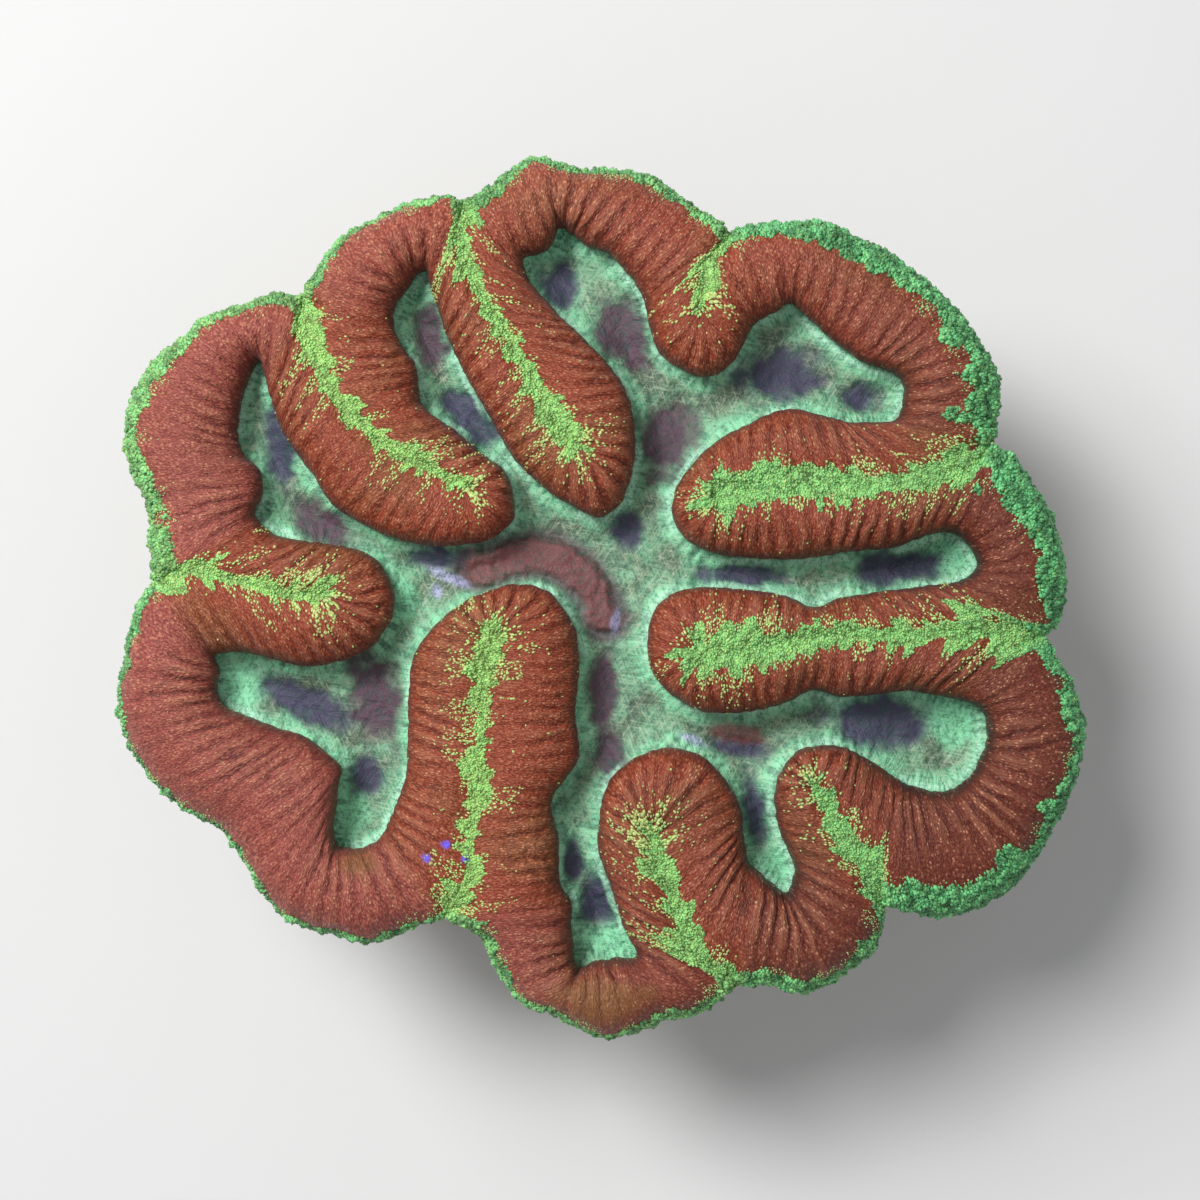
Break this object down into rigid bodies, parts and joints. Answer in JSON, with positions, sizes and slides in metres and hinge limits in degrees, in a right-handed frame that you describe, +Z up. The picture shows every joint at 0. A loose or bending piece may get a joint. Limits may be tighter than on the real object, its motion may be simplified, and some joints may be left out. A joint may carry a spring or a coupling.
{
  "type": "brain coral",
  "caption": "Brain coral colony with a winding fleshy band round a sunken valley, lobed rim and a flat cut base.",
  "frame": {"origin": "centre of the bounding box in plan, on the plane of the flat cut", "axes": "+Z up out of the valley, along the shortest extent; +X along the longest extent; -Z is the flat cut's outward direction"},
  "size_m": [0.1504, 0.1362, 0.0598],
  "materials": {
    "coral_flesh": "matt, fleshy"
  },
  "bodies": {
    "root": {"coral": "coral_flesh"}
  },
  "joints": []
}
